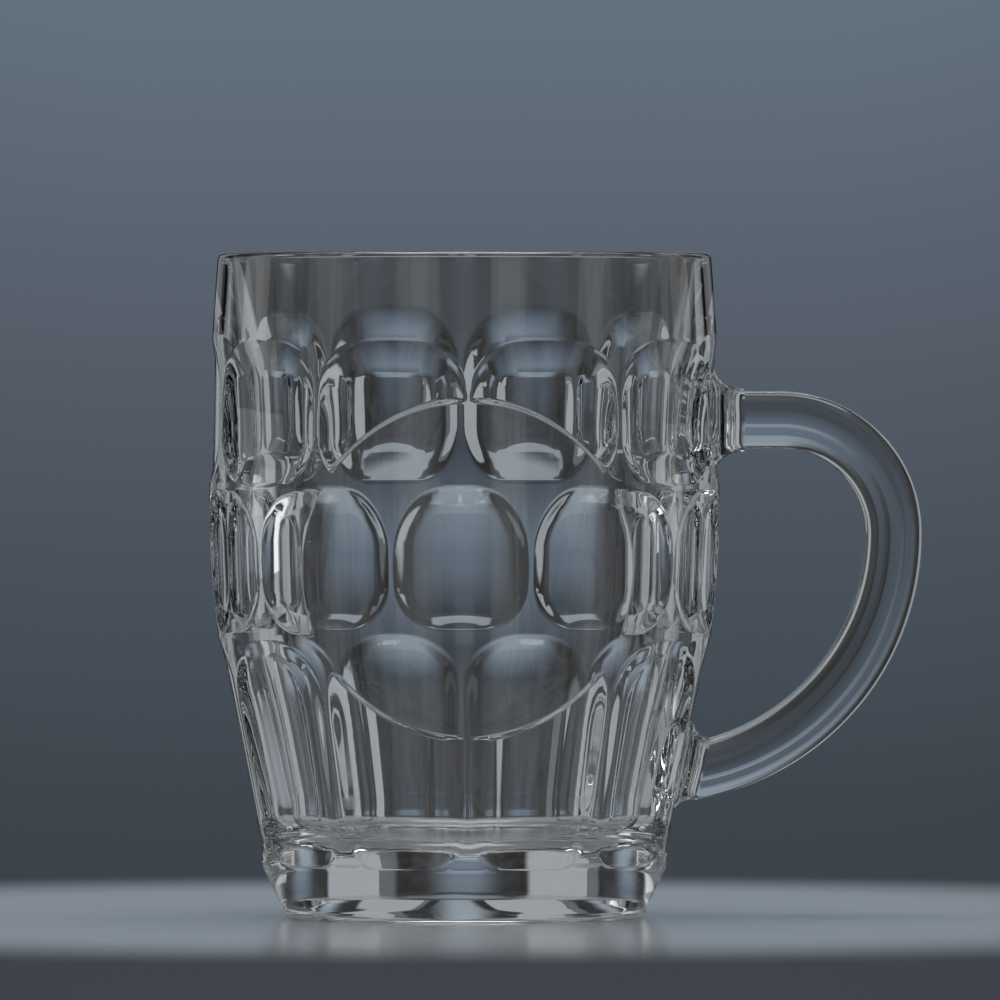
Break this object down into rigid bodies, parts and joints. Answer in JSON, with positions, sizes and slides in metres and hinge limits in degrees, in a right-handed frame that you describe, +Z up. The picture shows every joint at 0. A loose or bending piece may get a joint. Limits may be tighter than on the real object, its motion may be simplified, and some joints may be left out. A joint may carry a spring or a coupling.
{
  "type": "dimpled glass beer mug",
  "caption": "Clear pressed-glass beer mug with dimpled sides, long flutes, a plain round front panel, a heavy foot and a D-shaped handle.",
  "frame": {"origin": "centre of the flat underside that the mug stands on, on the tumbler's axis", "axes": "+Z up along the tumbler's axis, +X towards the handle, -Y towards the plain round panel"},
  "size_m": [0.1366, 0.0978, 0.127],
  "materials": {
    "tumbler_glass": "clear, fire-polished, very faintly grey",
    "handle_glass": "clear, fire-polished, with faint lines along the bar"
  },
  "bodies": {
    "root": {"body": "tumbler_glass", "handle": "handle_glass", "upper_handle_pad": "handle_glass", "lower_handle_pad": "handle_glass"}
  },
  "joints": []
}
